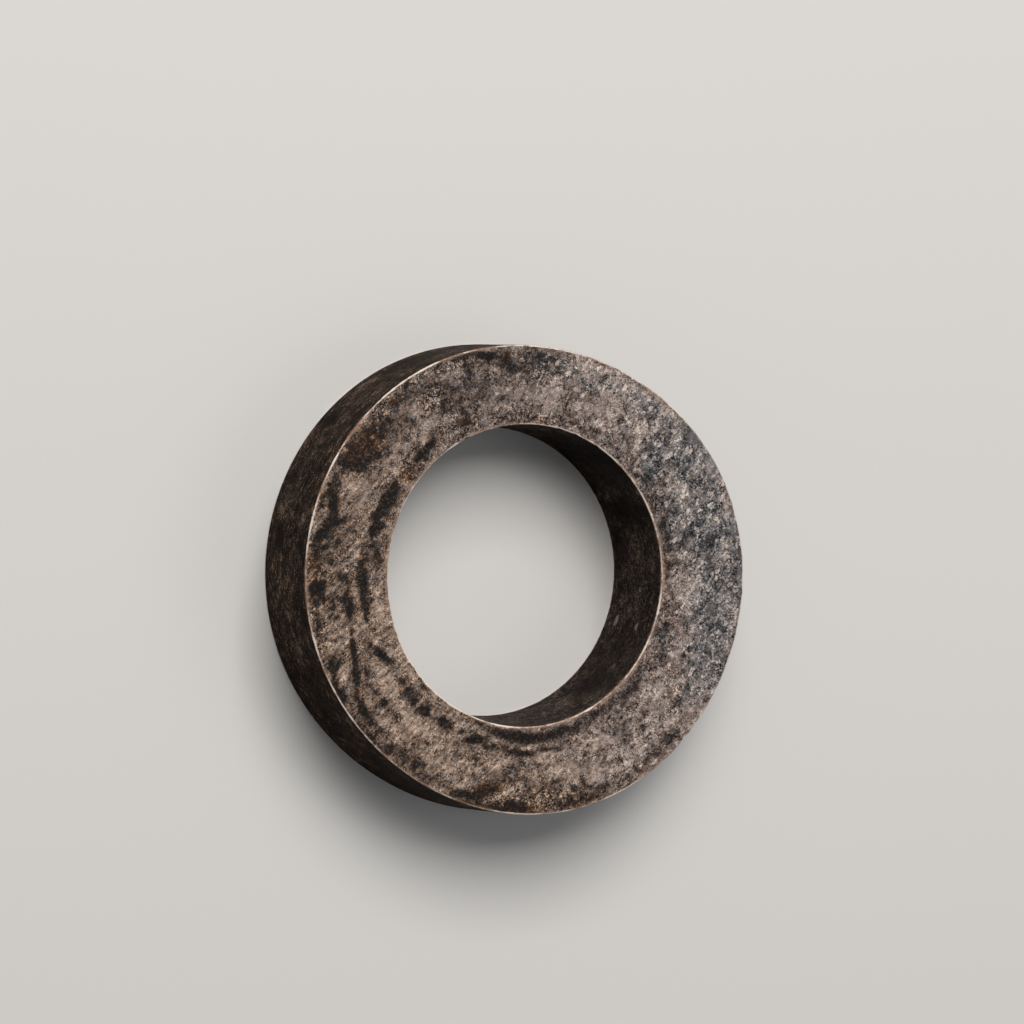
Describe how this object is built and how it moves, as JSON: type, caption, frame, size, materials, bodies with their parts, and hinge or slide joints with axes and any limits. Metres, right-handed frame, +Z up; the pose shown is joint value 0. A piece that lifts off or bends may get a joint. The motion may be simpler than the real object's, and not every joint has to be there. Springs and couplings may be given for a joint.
{
  "type": "jade ring",
  "caption": "Broad flat-faced stone ring of square section with a wide, slightly tapered bore, lying on its underside.",
  "frame": {"origin": "on the ground, under the middle of the ring's outline", "axes": "+Z up along the ring's axis, out of the face that the picture shows; +Y is the picture's up on that face, and +X its right"},
  "size_m": [0.0994, 0.0986, 0.023],
  "materials": {
    "jade": "dark mottled brown and blue-grey jade, hand-ground to a low polish, with worn bright edges"
  },
  "bodies": {
    "root": {"jade_ring": "jade"}
  },
  "joints": []
}
